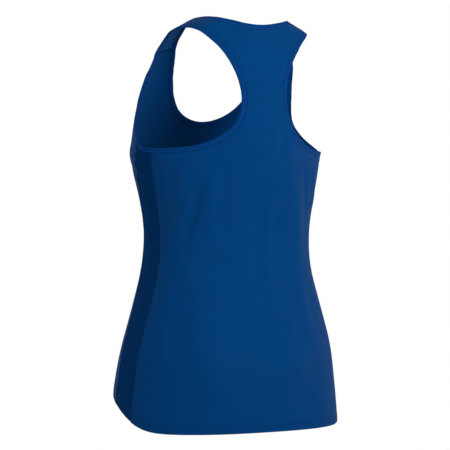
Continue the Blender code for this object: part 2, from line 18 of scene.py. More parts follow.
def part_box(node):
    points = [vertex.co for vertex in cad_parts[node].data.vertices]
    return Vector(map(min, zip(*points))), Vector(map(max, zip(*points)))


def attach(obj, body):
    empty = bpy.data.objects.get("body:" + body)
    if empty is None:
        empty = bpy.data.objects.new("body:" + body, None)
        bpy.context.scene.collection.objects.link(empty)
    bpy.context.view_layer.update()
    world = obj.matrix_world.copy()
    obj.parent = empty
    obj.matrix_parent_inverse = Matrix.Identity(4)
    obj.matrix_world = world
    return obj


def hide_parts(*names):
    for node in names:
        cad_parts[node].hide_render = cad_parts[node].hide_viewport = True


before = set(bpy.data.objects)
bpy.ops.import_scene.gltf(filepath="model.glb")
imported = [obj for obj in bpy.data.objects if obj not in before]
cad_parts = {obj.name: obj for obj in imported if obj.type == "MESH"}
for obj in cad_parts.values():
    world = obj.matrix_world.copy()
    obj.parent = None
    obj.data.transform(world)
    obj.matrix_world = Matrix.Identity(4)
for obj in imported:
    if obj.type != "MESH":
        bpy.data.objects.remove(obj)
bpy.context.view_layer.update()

MM = 0.001

# %% [markdown]
# ## The view and the light
# The garment is seen from behind and from its left, at the height of its middle, through a
# long lens that hardly shows any perspective. The light is a bright white studio: white all
# round, a soft lamp close behind the back, so that the seat gets less of it than the
# shoulders, one at the side that skims the far edge so that the cloth's sheen shows, one above
# for the straps and a weak one in front. The floor is a plain pale disc, well below the hem.

# %% Camera
CAMERA_PLACE = Vector((1.518, 2.588, -0.320))
CAMERA_LOOKS = Vector((-0.5, -0.866, 0.0))
CAMERA_LENS, SENSOR_WIDTH = 154.8, 36.0     # both in millimetres


def put_in_scene(name, data):
    """Makes an object of a camera, a lamp or a mesh, and links it to the scene."""
    thing = bpy.data.objects.new(name, data)
    bpy.context.scene.collection.objects.link(thing)
    return thing


camera_data = bpy.data.cameras.new("camera")
camera_data.lens, camera_data.sensor_width = CAMERA_LENS, SENSOR_WIDTH
camera = put_in_scene("camera", camera_data)
camera.location = CAMERA_PLACE
camera.rotation_euler = CAMERA_LOOKS.to_track_quat("-Z", "Y").to_euler()
bpy.context.scene.camera = camera
print("camera:", CAMERA_LENS, "mm lens, at", [round(at, 3) for at in CAMERA_PLACE])

# %% Studio light
MIDDLE = Vector((0.0, -0.04, -0.32))   # the middle of the garment
WHITE = (1.0, 1.0, 1.0, 1.0)
LAMPS = [
    # name, direction from the middle, distance, size, watts
    ("lamp_behind", (-0.10, 0.93, 0.28), 1.15, 0.7, 16.5),
    ("lamp_at_side", (-1.00, 0.00, 0.20), 3.0, 2.0, 22.0),
    ("lamp_from_above", (0.80, -0.10, 1.00), 3.0, 2.6, 24.0),
    ("lamp_in_front", (0.30, -1.00, 0.45), 2.2, 1.2, 12.0),
]

for name, direction, distance, size, watts in LAMPS:
    lamp_data = bpy.data.lights.new(name, "AREA")
    lamp_data.shape, lamp_data.size, lamp_data.energy = "DISK", size, watts
    lamp = put_in_scene(name, lamp_data)
    lamp.location = MIDDLE + Vector(direction).normalized() * distance
    lamp.rotation_euler = (MIDDLE - lamp.location).to_track_quat("-Z", "Y").to_euler()

world = bpy.data.worlds.new("white studio")
world.use_nodes = True
world.node_tree.nodes["Background"].inputs["Color"].default_value = WHITE
world.node_tree.nodes["Background"].inputs["Strength"].default_value = 1.0
bpy.context.scene.world = world
bpy.context.scene.view_settings.view_transform = "Standard"
print("lamps:", len(LAMPS))

# %% [markdown]
# ## Places on the body
# Creases, stitches and the knit itself all need to know where on the body a point is. Two
# numbers say it: the turn round the trunk, in degrees, 0 at the middle of the back and growing
# towards the wearer's left, and the height. The trunk is wider than deep, so x is narrowed
# first. "Outward" is the way from the trunk's core line to the point, and over the
# shoulders it leans upward.

# %% Places on the body
WIDER_THAN_DEEP = 1.38
CORE_Y = -0.036          # the core line of the trunk
CORE_TOP = -0.10         # and its top end
METRES_PER_RADIAN = 0.130


def turn_of(place):
    return math.degrees(math.atan2(place.x / WIDER_THAN_DEEP, place.y - CORE_Y))


def outward_at(place):
    core = Vector((0.0, CORE_Y, min(place.z, CORE_TOP)))
    return (place - core).normalized()


def smooth(value):
    value = min(max(value, 0.0), 1.0)
    return value * value * (3.0 - 2.0 * value)


for node in ("back_panel", "front_panel"):
    low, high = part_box(node)
    print(node, "is", round(high.z - low.z, 3), "m high")

# %% [markdown]
# ## Small helpers for shader node groups
# An effect that several finishes share is built once, as a node group. These helpers keep that
# short: one opens a group with named inputs and outputs, and the other adds a Math node and
# gives back its result, so that a formula reads like a formula.

# %% Node group helpers
KINDS = {"number": "NodeSocketFloat", "vector": "NodeSocketVector"}


def open_group(name, inputs, outputs):
    group = bpy.data.node_groups.new(name, "ShaderNodeTree")
    for label, kind in inputs:
        group.interface.new_socket(label, in_out="INPUT", socket_type=KINDS[kind])
    for label, kind in outputs:
        group.interface.new_socket(label, in_out="OUTPUT", socket_type=KINDS[kind])
    return group, group.nodes.new("NodeGroupInput"), group.nodes.new("NodeGroupOutput")


def calc(tree, operation, *values):
    node = tree.nodes.new("ShaderNodeMath")
    node.operation = operation
    for socket, value in zip(node.inputs, values):
        if isinstance(value, (int, float)):
            socket.default_value = value
        else:
            tree.links.new(value, socket)
    return node.outputs[0]


def fade(tree, value, start, end):
    """1 up to start, 0 from end on, and smooth between."""
    node = tree.nodes.new("ShaderNodeMapRange")
    node.interpolation_type = "SMOOTHSTEP"
    tree.links.new(value, node.inputs["Value"])
    node.inputs["From Min"].default_value = start
    node.inputs["From Max"].default_value = end
    node.inputs["To Min"].default_value = 1.0
    node.inputs["To Max"].default_value = 0.0
    return node.outputs["Result"]


print("helpers ready")

# %% [markdown]
# ## Plain knit
# Plain knit is made of columns of loops, called wales, and each loop is a small V. The pattern
# lives on a UV map measured in metres, so that the columns run down the body. Across a column
# the height falls off to both sides, and along it a wave, pushed later by the distance from the
# column's middle, draws the V.

# %% Group: plain knit
LOOP_SLANT = 0.6         # how far a loop's sides run down from its middle, in courses
LOOP_FALL = -0.7         # how much lower the loop is at the edge of its column
GROOVE_POWER = 6.0       # the higher, the narrower the painted shade in the groove between two columns

plain_knit, knit_in, knit_out = open_group(
    "plain knit",
    [("Place", "vector"), ("Wale", "number"), ("Course", "number")],
    [("Height", "number"), ("Groove Shade", "number")])

split = plain_knit.nodes.new("ShaderNodeSeparateXYZ")
plain_knit.links.new(knit_in.outputs["Place"], split.inputs[0])
column = calc(plain_knit, "DIVIDE", split.outputs["X"], knit_in.outputs["Wale"])
row = calc(plain_knit, "DIVIDE", split.outputs["Y"], knit_in.outputs["Course"])
off_middle = calc(plain_knit, "MULTIPLY", 2.0, calc(
    plain_knit, "ABSOLUTE", calc(plain_knit, "SUBTRACT", calc(plain_knit, "FRACT", column), 0.5)))
along = calc(plain_knit, "FRACT", calc(plain_knit, "MULTIPLY_ADD", off_middle, LOOP_SLANT, row))
wave = calc(plain_knit, "SINE", calc(plain_knit, "MULTIPLY", along, math.pi))
fall = calc(plain_knit, "MULTIPLY_ADD",
            calc(plain_knit, "POWER", off_middle, 2.0), LOOP_FALL, 1.0)
plain_knit.links.new(calc(plain_knit, "MULTIPLY", wave, fall), knit_out.inputs["Height"])
# The groove between two columns darkens the cloth's colour: painted shade.
plain_knit.links.new(calc(plain_knit, "POWER", off_middle, GROOVE_POWER),
                     knit_out.inputs["Groove Shade"])
print("plain knit:", len(plain_knit.nodes), "nodes")

# %% [markdown]
# ## Mesh knit
# The side inserts are an airy mesh: rows of tiny eyelets, each row shifted by half a step. The
# eyelets are far too small to cut, so each is a sunken dot, darkened in the colour as painted
# shade for the hole. A floor and a modulo shift every other row, and the distance from the
# middle of the cell draws the dot.

# %% Group: mesh knit
ROWS_APART = 0.87                         # in steps, a step being from eyelet to eyelet
EYELET_CORE, EYELET_EDGE = 0.16, 0.34     # an eyelet's radii, in steps

mesh_knit, mesh_in, mesh_out = open_group(
    "mesh knit",
    [("Place", "vector"), ("Step", "number")],
    [("Height", "number"), ("Eyelet Shade", "number")])

split = mesh_knit.nodes.new("ShaderNodeSeparateXYZ")
mesh_knit.links.new(mesh_in.outputs["Place"], split.inputs[0])
row = calc(mesh_knit, "DIVIDE", split.outputs["Y"],
           calc(mesh_knit, "MULTIPLY", mesh_in.outputs["Step"], ROWS_APART))
shift = calc(mesh_knit, "MULTIPLY", 0.5,
             calc(mesh_knit, "MODULO", calc(mesh_knit, "FLOOR", row), 2.0))
column = calc(mesh_knit, "ADD", shift,
              calc(mesh_knit, "DIVIDE", split.outputs["X"], mesh_in.outputs["Step"]))
side = calc(mesh_knit, "SUBTRACT", calc(mesh_knit, "FRACT", column), 0.5)
up = calc(mesh_knit, "SUBTRACT", calc(mesh_knit, "FRACT", row), 0.5)
reach = calc(mesh_knit, "SQRT", calc(mesh_knit, "ADD", calc(mesh_knit, "POWER", side, 2.0),
                                     calc(mesh_knit, "POWER", up, 2.0)))
eyelet = fade(mesh_knit, reach, EYELET_CORE, EYELET_EDGE)
# The eyelet darkens the cloth's colour: painted shade in the hole.
mesh_knit.links.new(eyelet, mesh_out.inputs["Eyelet Shade"])
mesh_knit.links.new(calc(mesh_knit, "SUBTRACT", 1.0, eyelet), mesh_out.inputs["Height"])
print("mesh knit:", len(mesh_knit.nodes), "nodes")

# %% [markdown]
# ## Uneven dye, and painted shade beside seams
# Dyed cloth is never one flat colour. A broad noise makes it a little lighter here and darker
# there, a fine one gives it the fuzz of its fibres, and one that is drawn out sideways gives
# the faint level streaks that yarn leaves in knit. Beside a seam, along a row of stitches and
# along a faint line low in the hem, the cloth is dented in a little, and its colour is darkened
# there as painted shade. Each cloth piece carries two numbers at every point for that: how far
# it is from the nearest seam and how far above the hem's edge.

# %% Group: cloth shade
HEM_ROWS_AT = (8.6 * MM, 12.8 * MM)     # the two needle rows above the hem's edge
HEM_SHADE_LINE = 4.6 * MM                  # a faint line of painted shade, this far above the hem's edge
HEM_SHADE_STRENGTH = 0.6                    # its painted shade, as a share of a needle row's
STREAKS_PER_METRE = (22.0, 22.0, 330.0)
BROAD_SCALE, BROAD_DETAIL = 9.0, 3.0
FUZZ_SCALE, FUZZ_DETAIL = 700.0, 2.0
SEAM_SHADE = (0.1 * MM, 1.9 * MM)       # the cloth is darkest up to here, and not from here on
LINE_SHADE = (0.2 * MM, 1.3 * MM)       # the same beside a needle row or the faint line low in the hem

cloth_shade, shade_in, shade_out = open_group(
    "cloth shade",
    [("Place", "vector"), ("From Seam", "number"), ("Above Hem", "number")],
    [("Tone", "number"), ("Fuzz", "number"), ("Streaks", "number"), ("Pulled In And Shaded", "number")])

broad = cloth_shade.nodes.new("ShaderNodeTexNoise")
broad.inputs["Scale"].default_value = BROAD_SCALE
broad.inputs["Detail"].default_value = BROAD_DETAIL
fine = cloth_shade.nodes.new("ShaderNodeTexNoise")
fine.inputs["Scale"].default_value = FUZZ_SCALE
fine.inputs["Detail"].default_value = FUZZ_DETAIL
for texture in (broad, fine):
    cloth_shade.links.new(shade_in.outputs["Place"], texture.inputs["Vector"])
flattened = cloth_shade.nodes.new("ShaderNodeVectorMath")
flattened.operation = "MULTIPLY"
flattened.inputs[1].default_value = STREAKS_PER_METRE
cloth_shade.links.new(shade_in.outputs["Place"], flattened.inputs[0])
level = cloth_shade.nodes.new("ShaderNodeTexNoise")
level.inputs["Scale"].default_value, level.inputs["Detail"].default_value = 1.0, 1.0
cloth_shade.links.new(flattened.outputs["Vector"], level.inputs["Vector"])
# The cloth beside a seam, along the hem's needle rows and along its faint low line: painted shade in
# the colour. The same number also dents the knit's bump.
pulled_and_shaded = fade(cloth_shade, shade_in.outputs["From Seam"], *SEAM_SHADE)
for at, strength in ((HEM_ROWS_AT[0], 1.0), (HEM_ROWS_AT[1], 1.0), (HEM_SHADE_LINE, HEM_SHADE_STRENGTH)):
    away = calc(cloth_shade, "ABSOLUTE",
                calc(cloth_shade, "SUBTRACT", shade_in.outputs["Above Hem"], at))
    line = calc(cloth_shade, "MULTIPLY", strength, fade(cloth_shade, away, *LINE_SHADE))
    pulled_and_shaded = calc(cloth_shade, "MAXIMUM", pulled_and_shaded, line)
cloth_shade.links.new(broad.outputs["Fac"], shade_out.inputs["Tone"])
cloth_shade.links.new(fine.outputs["Fac"], shade_out.inputs["Fuzz"])
cloth_shade.links.new(level.outputs["Fac"], shade_out.inputs["Streaks"])
cloth_shade.links.new(pulled_and_shaded, shade_out.inputs["Pulled In And Shaded"])
print("cloth shade:", len(cloth_shade.nodes), "nodes")

# %% [markdown]
# ## The cloth finishes
# Royal blue polyester knit for the body, the same knit cut as a strip for the bindings, and
# navy mesh for the sides. The inside of the back is a lighter, greyer copy of the royal knit,
# as painted sheen. All are matt, with the faint sheen at a grazing angle that fine fibres give,
# so the shader's sheen does that and its plain gloss is kept very low. The open mesh of the
# sides has hardly any. The groups above only give numbers: they are turned into colour,
# roughness and bump here. The hollows of the knit, and the cloth beside seams and along the
# hem's lines, are darkened in the colour as painted shade.

# %% Cloth materials
ROYAL = (0.0001, 0.0220, 0.0850)
ROYAL_DARK_AND_SHADE = (0.0001, 0.0130, 0.0550)
STRIP = (0.0002, 0.0198, 0.0860)
STRIP_DARK_AND_SHADE = (0.0002, 0.0130, 0.0600)
NAVY = (0.0003, 0.0160, 0.0630)
NAVY_DARK_AND_SHADE = (0.0002, 0.0076, 0.0310)
INSIDE_PAINTED_SHEEN = (0.0016, 0.0340, 0.1200)            # the inside of the back, lighter and greyer than the royal knit: painted sheen
INSIDE_SHEEN_DARK_AND_SHADE = (0.0010, 0.0200, 0.0760)
SHEEN_TINT = (0.75, 0.80, 1.0, 1.0)
SHEEN_ROUGHNESS = 0.48
LEAST_ROUGH, FUZZ_ROUGH = 0.56, 0.16       # the roughness, and how much the fuzz adds to it
DYE_DEPTH, FUZZ_DEPTH, STREAK_DEPTH, PAINTED_SHADE_DEPTH = 0.45, 0.35, 0.38, 0.55   # towards the darker colour; the last is painted shade
KNIT_RAISED = 0.25 * MM
PRESS_RAISED = -1.2                        # as a share of that, where the cloth is pulled in


def group_node(tree, group):
    node = tree.nodes.new("ShaderNodeGroup")
    node.node_tree = group
    return node


def blend_colour(tree, factor, first, second):
    node = tree.nodes.new("ShaderNodeMix")
    node.data_type = "RGBA"
    tree.links.new(factor, node.inputs["Factor"])
    for socket, colour in ((node.inputs["A"], first), (node.inputs["B"], second)):
        if isinstance(colour, tuple):
            socket.default_value = colour + (1.0,)
        else:
            tree.links.new(colour, socket)
    return node.outputs["Result"]


def cloth_material(name, colour, dark_and_shade, pattern, sizes, knit_shade, bump, sheen, gloss=0.003):
    """A cloth: its colour, the darker colour that it blends towards for uneven dye and for painted
    shade, its knit, how strongly the hollows of the knit are darkened as painted shade and how
    raised the knit is, and its sheen and gloss."""
    material = bpy.data.materials.new(name)
    material.use_nodes = True
    tree = material.node_tree
    shader = tree.nodes["Principled BSDF"]
    shader.inputs["Specular IOR Level"].default_value = gloss
    shader.inputs["Sheen Weight"].default_value = sheen
    shader.inputs["Sheen Roughness"].default_value = SHEEN_ROUGHNESS
    shader.inputs["Sheen Tint"].default_value = SHEEN_TINT
    flat = tree.nodes.new("ShaderNodeUVMap")
    flat.uv_map = "cloth"
    knit = group_node(tree, pattern)
    tree.links.new(flat.outputs["UV"], knit.inputs["Place"])
    for socket, size in sizes.items():
        knit.inputs[socket].default_value = size
    place = tree.nodes.new("ShaderNodeTexCoord")
    shade = group_node(tree, cloth_shade)
    tree.links.new(place.outputs["Object"], shade.inputs["Place"])
    for attribute, socket in (("from_seam", "From Seam"), ("above_hem", "Above Hem")):
        reading = tree.nodes.new("ShaderNodeAttribute")
        reading.attribute_name = attribute
        tree.links.new(reading.outputs["Fac"], shade.inputs[socket])
    # Painted shade: the hollows of the knit (grooves, or the mesh's eyelets) and the cloth beside
    # seams and along the hem's lines are darkened towards the darker colour. The uneven dye, fuzz
    # and streaks are the cloth's own tone.
    painted_knit_shade = calc(tree, "MULTIPLY", knit.outputs[1], knit_shade)
    uneven = calc(tree, "MULTIPLY", calc(tree, "SUBTRACT", shade.outputs["Tone"], 0.5), DYE_DEPTH)
    fuzz = calc(tree, "MULTIPLY", calc(tree, "SUBTRACT", shade.outputs["Fuzz"], 0.5), FUZZ_DEPTH)
    streaks = calc(tree, "MULTIPLY",
                   calc(tree, "SUBTRACT", shade.outputs["Streaks"], 0.5), STREAK_DEPTH)
    painted_seam_shade = calc(tree, "MULTIPLY", shade.outputs["Pulled In And Shaded"], PAINTED_SHADE_DEPTH)
    tone_and_shade = painted_knit_shade
    for part in (uneven, fuzz, streaks, painted_seam_shade):
        tone_and_shade = calc(tree, "ADD", tone_and_shade, part)
    tree.links.new(blend_colour(tree, tone_and_shade, colour, dark_and_shade), shader.inputs["Base Color"])
    tree.links.new(calc(tree, "MULTIPLY_ADD", shade.outputs["Fuzz"], FUZZ_ROUGH, LEAST_ROUGH),
                   shader.inputs["Roughness"])
    raised = tree.nodes.new("ShaderNodeBump")
    raised.inputs["Strength"].default_value = bump
    raised.inputs["Distance"].default_value = KNIT_RAISED
    height = calc(tree, "MULTIPLY_ADD",
                  shade.outputs["Pulled In And Shaded"], PRESS_RAISED, knit.outputs["Height"])
    tree.links.new(height, raised.inputs["Height"])
    tree.links.new(raised.outputs["Normal"], shader.inputs["Normal"])
    return material


FINE_KNIT = {"Wale": 0.62 * MM, "Course": 0.50 * MM}
TURNED_KNIT = {"Wale": 0.50 * MM, "Course": 0.62 * MM}     # the strip is cut across the knit
OPEN_MESH = {"Step": 1.7 * MM}
royal_knit = cloth_material("royal knit", ROYAL, ROYAL_DARK_AND_SHADE, plain_knit, FINE_KNIT,
                            knit_shade=0.30, bump=0.35, sheen=0.022)
# The inside of the back: a lighter, greyer copy of the royal knit, as painted sheen.
royal_inside_painted_sheen = cloth_material("royal knit, inside with painted sheen", INSIDE_PAINTED_SHEEN, INSIDE_SHEEN_DARK_AND_SHADE, plain_knit, FINE_KNIT,
                              knit_shade=0.30, bump=0.35, sheen=0.022)
binding_knit = cloth_material("binding knit", STRIP, STRIP_DARK_AND_SHADE, plain_knit, TURNED_KNIT,
                              knit_shade=0.30, bump=0.35, sheen=0.006)
navy_mesh = cloth_material("navy mesh", NAVY, NAVY_DARK_AND_SHADE, mesh_knit, OPEN_MESH,
                           knit_shade=0.80, bump=0.45, sheen=0.001, gloss=0.001)
print("cloth finishes:", royal_knit.name, "/", binding_knit.name, "/", navy_mesh.name)

# %% [markdown]
# ## The thread
# Polyester sewing thread is two strands twisted together. It has about the colour of the cloth
# and is glossier. The crests of its twist are painted lighter, a painted highlight, and a wave
# texture draws the twist.

# %% Thread material
THREAD_COLOUR = (0.0003, 0.0210, 0.0850)
# The crests of the twist are painted this lighter colour, as a painted highlight.
THREAD_PAINTED_HIGHLIGHT = (0.0005, 0.0340, 0.1300)
THREAD_GLOSS, THREAD_ROUGHNESS = 0.25, 0.45
TWIST_SCALE = 900.0
TWIST_BUMP, TWIST_RAISED = 0.4, 0.05 * MM

thread = bpy.data.materials.new("thread")
thread.use_nodes = True
tree = thread.node_tree
shader = tree.nodes["Principled BSDF"]
shader.inputs["Specular IOR Level"].default_value = THREAD_GLOSS
shader.inputs["Roughness"].default_value = THREAD_ROUGHNESS
place = tree.nodes.new("ShaderNodeTexCoord")
twist = tree.nodes.new("ShaderNodeTexWave")
twist.bands_direction = "DIAGONAL"
twist.inputs["Scale"].default_value = TWIST_SCALE
tree.links.new(place.outputs["Object"], twist.inputs["Vector"])
tree.links.new(blend_colour(tree, twist.outputs["Fac"], THREAD_COLOUR, THREAD_PAINTED_HIGHLIGHT),
               shader.inputs["Base Color"])
raised = tree.nodes.new("ShaderNodeBump")
raised.inputs["Strength"].default_value = TWIST_BUMP
raised.inputs["Distance"].default_value = TWIST_RAISED
tree.links.new(twist.outputs["Fac"], raised.inputs["Height"])
tree.links.new(raised.outputs["Normal"], shader.inputs["Normal"])
print("thread ready")

# %% [markdown]
# ## Creases
# Thin knit on a body lies in long soft creases: down the hollow of the back, from the armholes
# towards the waist, from the bust to the armholes and across the waist. Each row below is one
# crease, laid from one place on the body to another. A negative height is a trough and a
# positive one a ridge. They are uneven in length, depth and spacing, as cloth is. The widest
# rows are broad forms more than creases: the fullness of the seat, the cloth drawn in at the
# hem and the cloth pulled in beside the right armhole. Every piece asks the same function, so
# all of them run on across the seams. Beside each, the cloth swells a little the other way.

# %% The creases
CREASES = [
    # turn (degrees) and height (m) at its start and at its end, how far raised, half width, bow (mm)
    # back, from the left armhole down to the waist
    (37, -0.240, 56, -0.360, -2.6, 7.5, 4.0),
    (47, -0.212, 60, -0.300, 1.2, 7.0, 4.0),
    (22, -0.218, 27, -0.350, -2.0, 8.0, -3.0),
    (32, -0.232, 38, -0.345, 1.0, 10.0, 3.0),
    (15, -0.262, 14, -0.372, 0.8, 9.0, -2.0),
    # down the hollow of the back
    (2, -0.262, 1, -0.445, -1.5, 11.0, 3.0),
    (8, -0.300, 8, -0.420, 0.8, 8.0, 1.0),
    (-14, -0.268, -12, -0.440, -1.4, 9.0, -4.0),
    (-6, -0.250, -5, -0.400, 0.6, 8.0, 1.0),
    # from under the right arm
    (-20, -0.226, -39, -0.418, 2.0, 12.0, 6.0),
    (-28, -0.214, -43, -0.312, -2.2, 5.5, 4.0),
    (-26, -0.290, -33, -0.530, 2.6, 11.0, 0.0),
    (-37, -0.222, -55, -0.330, -1.4, 8.0, 3.0),
    (-46, -0.232, -58, -0.300, 1.0, 7.0, 2.0),
    # the racer strip and the yoke
    (-10, -0.160, -9, -0.245, -1.2, 8.0, 2.0),
    (20, -0.182, 9, -0.225, -1.0, 9.0, -3.0),
    (-22, -0.176, -12, -0.218, 0.8, 8.0, 3.0),
    (3, -0.075, -2, -0.170, 0.6, 10.0, 2.0),
    (14, -0.045, 5, -0.110, -0.8, 8.0, 3.0),
    (-14, -0.048, -6, -0.112, -0.8, 8.0, -3.0),
    # small of the back and seat
    (48, -0.372, 14, -0.404, -3.2, 19.0, 6.0),
    (-18, -0.386, -50, -0.368, -1.0, 9.0, -5.0),
    (34, -0.425, 31, -0.605, 4.5, 23.0, 3.0),
    (-68, -0.526, 76, -0.534, 3.2, 42.0, 3.0),
    (-66, -0.650, 74, -0.650, -3.0, 40.0, 0.0),
    (14, -0.470, 17, -0.590, -0.8, 12.0, -4.0),
    (-16, -0.405, -14, -0.610, 3.0, 30.0, -3.0),
    (-16, -0.530, -9, -0.628, -1.8, 17.0, 4.0),
    (-34, -0.520, -26, -0.628, -2.4, 17.0, -6.0),
    (-48, -0.430, -44, -0.585, -0.9, 11.0, 5.0),
    (50, -0.400, 47, -0.560, -0.8, 12.0, -5.0),
    # left side, gathers by the front seam and under the arm
    (84, -0.211, 110, -0.204, -2.4, 4.0, -3.0),
    (88, -0.222, 106, -0.226, 1.5, 4.0, 1.0),
    (85, -0.238, 112, -0.232, -2.1, 4.5, 3.0),
    (92, -0.256, 108, -0.262, -1.2, 5.0, 2.0),
    (70, -0.214, 73, -0.300, -1.0, 6.0, 3.0),
    (78, -0.330, 99, -0.352, -0.9, 8.0, 4.0),
    (66, -0.372, 90, -0.380, -1.0, 9.0, -4.0),
    (80, -0.440, 77, -0.560, 0.9, 12.0, 4.0),
    # right side, the same but not alike
    (-118, -0.075, -80, -0.240, -6.5, 20.0, 0.0),
    (-86, -0.207, -108, -0.212, -2.0, 4.5, 3.0),
    (-88, -0.224, -112, -0.221, -1.7, 4.0, -2.0),
    (-93, -0.243, -107, -0.250, 1.2, 5.0, 2.0),
    (-72, -0.216, -70, -0.290, -1.2, 6.5, -3.0),
    (-76, -0.345, -100, -0.330, -1.0, 8.0, -4.0),
    (-64, -0.365, -92, -0.388, -0.9, 9.0, 5.0),
    (-83, -0.450, -80, -0.575, 0.9, 12.0, -3.0),
    # front, from the armholes to the bust
    (112, -0.178, 134, -0.214, -1.8, 7.0, 5.0),
    (110, -0.196, 131, -0.236, 1.2, 7.0, 4.0),
    (122, -0.140, 140, -0.190, -1.0, 8.0, -3.0),
    (-113, -0.174, -136, -0.220, -1.7, 7.5, -5.0),
    (-109, -0.200, -128, -0.232, 1.0, 6.5, -4.0),
    (-121, -0.146, -142, -0.186, -1.0, 8.0, 3.0),
    # front, between the bust and under it
    (150, -0.222, 210, -0.226, -1.2, 9.0, 7.0),
    (158, -0.252, 200, -0.248, 0.8, 9.0, -5.0),
    (146, -0.268, 138, -0.372, -1.5, 9.0, 5.0),
    (-147, -0.262, -141, -0.384, -1.7, 8.0, -5.0),
    (166, -0.270, 168, -0.400, 0.8, 10.0, 3.0),
    (-168, -0.276, -170, -0.390, -0.8, 10.0, 2.0),
    # front, waist and belly
    (118, -0.366, 150, -0.352, -1.2, 8.0, 6.0),
    (122, -0.392, 148, -0.400, -1.0, 9.0, -5.0),
    (-116, -0.360, -146, -0.372, -1.4, 8.0, -6.0),
    (-120, -0.398, -152, -0.390, -0.9, 9.0, 5.0),
    (140, -0.440, 146, -0.545, 0.9, 13.0, 4.0),
    (162, -0.450, 160, -0.550, -0.9, 12.0, -4.0),
    (-176, -0.440, -178, -0.548, 0.8, 14.0, 3.0),
    (-156, -0.452, -152, -0.552, -0.9, 12.0, 4.0),
    (-134, -0.440, -138, -0.540, 0.9, 13.0, -4.0),
]
CREASE_TAPER = 0.32      # the share of its length over which a crease runs out at each end
CREASE_REACH = 3.2       # half widths from its middle, where nothing is left of a crease
SWELL_AT = 1.9           # half widths from it, where the cloth swells the other way
SWELL_SHARE = 0.30       # the height of that swell, as a share of the crease's own


def around(turn):
    """How far round the trunk a turn is, in metres."""
    return math.radians(turn) * METRES_PER_RADIAN


def crease_lines():
    """Each crease as a start and a step on the unrolled body, and its sizes in metres."""
    lines = []
    for turn, height, turn_end, height_end, raised, half_width, bow in CREASES:
        start = Vector((around(turn), height))
        step = Vector((around(turn_end), height_end)) - start
        lines.append((start, step, raised * MM, half_width * MM, bow * MM))
    return lines


CREASE_LINES = crease_lines()
WHOLE_TURN = around(360)


def raised_at(place):
    """How far the creases raise the cloth at a place."""
    total = 0.0
    for lap in (0.0, WHOLE_TURN, -WHOLE_TURN):
        point = Vector((around(turn_of(place)) + lap, place.z))
        for start, step, raised, half_width, bow in CREASE_LINES:
            off = point - start
            share = off.dot(step) / step.length_squared
            if not 0.0 < share < 1.0:
                continue
            across = (off.x * step.y - off.y * step.x) / step.length
            across = (across - 4.0 * bow * share * (1.0 - share)) / half_width
            if abs(across) > CREASE_REACH:
                continue
            ends = smooth(share / CREASE_TAPER) * smooth((1.0 - share) / CREASE_TAPER)
            beside = SWELL_SHARE * math.exp(-(abs(across) - SWELL_AT) ** 2)
            total += raised * ends * (math.exp(-across * across) - beside)
    return total


print("creases and broad forms:", len(CREASES))

# %% [markdown]
# ## Cutting a skin from a wall
# A packed wall is a closed body of loose triangles. Its copy is merged first. Then one face
# that surely looks outward is picked, and the choice spreads from it over every edge that
# isn't sharp. It stops at the wall's square rim, so just the outer skin is left. A sliver may
# look any way, so one that touches no point of the inner side is kept too. Joining the
# triangles gives back a grid of quads, which subdivides evenly. Subdividing would round off a
# panel's corners, so each point at which an open edge turns is creased first.

# %% Skins
RIM_ANGLE = math.radians(45)
CORNER_ANGLE = math.radians(135)
MERGE_WITHIN = 2e-6      # metres
SKEW_STEPS = (5, 10, 15, 20, 30, 40, 60, 180)     # the squarest pairs are joined first


def loose_copy(node):
    """The node's mesh, merged, in a new bmesh."""
    work = bmesh.new()
    work.from_mesh(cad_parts[node].data)
    bmesh.ops.remove_doubles(work, verts=work.verts, dist=MERGE_WITHIN)
    work.normal_update()
    return work


def smooth_side(work, facing):
    """The faces of one side of a wall, spread from the one that faces this way the most."""
    first = max(work.faces, key=lambda face: facing * face.normal.dot(
        outward_at(face.calc_center_median())))
    kept, waiting = {first}, [first]
    while waiting:
        for edge in waiting.pop().edges:
            if edge.calc_face_angle(math.pi) < RIM_ANGLE:
                new = [face for face in edge.link_faces if face not in kept]
                kept.update(new)
                waiting.extend(new)
    return kept


def outer_skin(node):
    work = loose_copy(node)
    kept, inside = smooth_side(work, 1.0), smooth_side(work, -1.0)
    inner_points = {vert for face in inside for vert in face.verts}
    slivers = [face for face in work.faces if face not in kept
               and not inner_points & set(face.verts)]
    kept.update(slivers)
    bmesh.ops.delete(work, geom=[face for face in work.faces if face not in kept], context="FACES")
    return work


def keep_corners(work):
    """Creases the points at which an open edge turns, so that a panel keeps its corners."""
    sharpness = work.verts.layers.float.new("crease_vert")
    corners = 0
    for vert in work.verts:
        ways = [edge.other_vert(vert).co - vert.co for edge in vert.link_edges if edge.is_boundary]
        if len(ways) == 2 and ways[0].angle(ways[1]) < CORNER_ANGLE:
            vert[sharpness] = 1.0
            corners += 1
    return corners


def subdivided(work, levels, sharpest=RIM_ANGLE):
    """The mesh as quads after a Subdivision Surface, which also rounds it."""
    print("corners kept:", keep_corners(work))
    for skew in SKEW_STEPS:
        loose = [face for face in work.faces if len(face.verts) == 3]
        if loose:
            bmesh.ops.join_triangles(work, faces=loose, angle_face_threshold=sharpest,
                                     angle_shape_threshold=math.radians(skew))
    mesh = bpy.data.meshes.new("draft")
    work.to_mesh(mesh)
    work.free()
    draft = put_in_scene("draft", mesh)
    rounding = draft.modifiers.new("rounding", "SUBSURF")
    rounding.levels = rounding.render_levels = levels
    rounding.boundary_smooth = "PRESERVE_CORNERS"
    bpy.context.view_layer.update()
    fine = bmesh.new()
    fine.from_object(draft, bpy.context.evaluated_depsgraph_get())
    bpy.data.objects.remove(draft)
    bpy.data.meshes.remove(mesh)
    fine.normal_update()
    return fine


skin = outer_skin("side_panel_left")
print("outer skin of side_panel_left:", len(skin.faces), "triangles")
skin.free()

